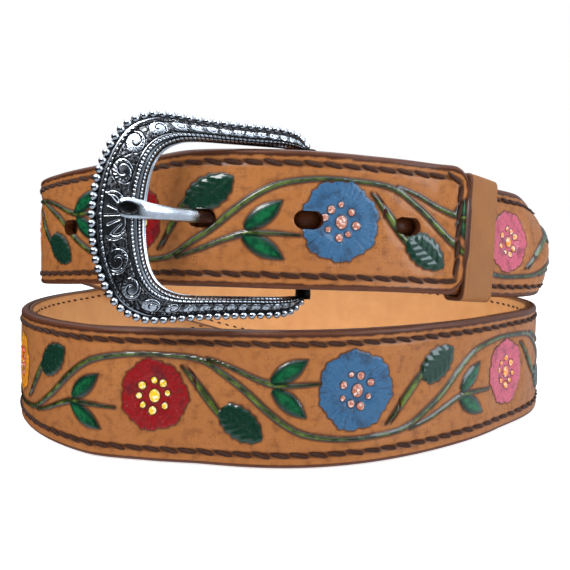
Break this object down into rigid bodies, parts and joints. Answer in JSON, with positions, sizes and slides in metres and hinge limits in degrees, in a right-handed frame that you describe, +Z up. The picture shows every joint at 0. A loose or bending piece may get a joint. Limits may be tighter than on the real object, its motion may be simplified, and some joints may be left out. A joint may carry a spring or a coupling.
{
  "type": "patterned leather belt",
  "caption": "Lined western belt of tooled, painted leather, buckled into a standing coil, with an engraved buckle and a plain keeper.",
  "frame": {"origin": "on the floor under the middle of the whole coiled belt", "axes": "+Z up across the strap's width, the buckle towards -Y, +X to the right of someone who looks at the buckle"},
  "size_m": [0.2164, 0.2162, 0.097],
  "materials": {
    "tooled_leather": "tan grain leather, tooled and hand painted with flowers, glossy, dark burnished edges",
    "lining_leather": "smooth light tan lining leather",
    "keeper_leather": "plain light tan leather",
    "silver": "antique silver, engraved, blackened in the cuts",
    "steel": "plain steel"
  },
  "bodies": {
    "root": {"strap_outer": "tooled_leather", "strap_liner": "lining_leather", "keeper_loop": "keeper_leather", "flap_post_1": "steel", "flap_post_2": "steel", "buckle_frame": "silver", "buckle_tongue": "silver"}
  },
  "joints": []
}
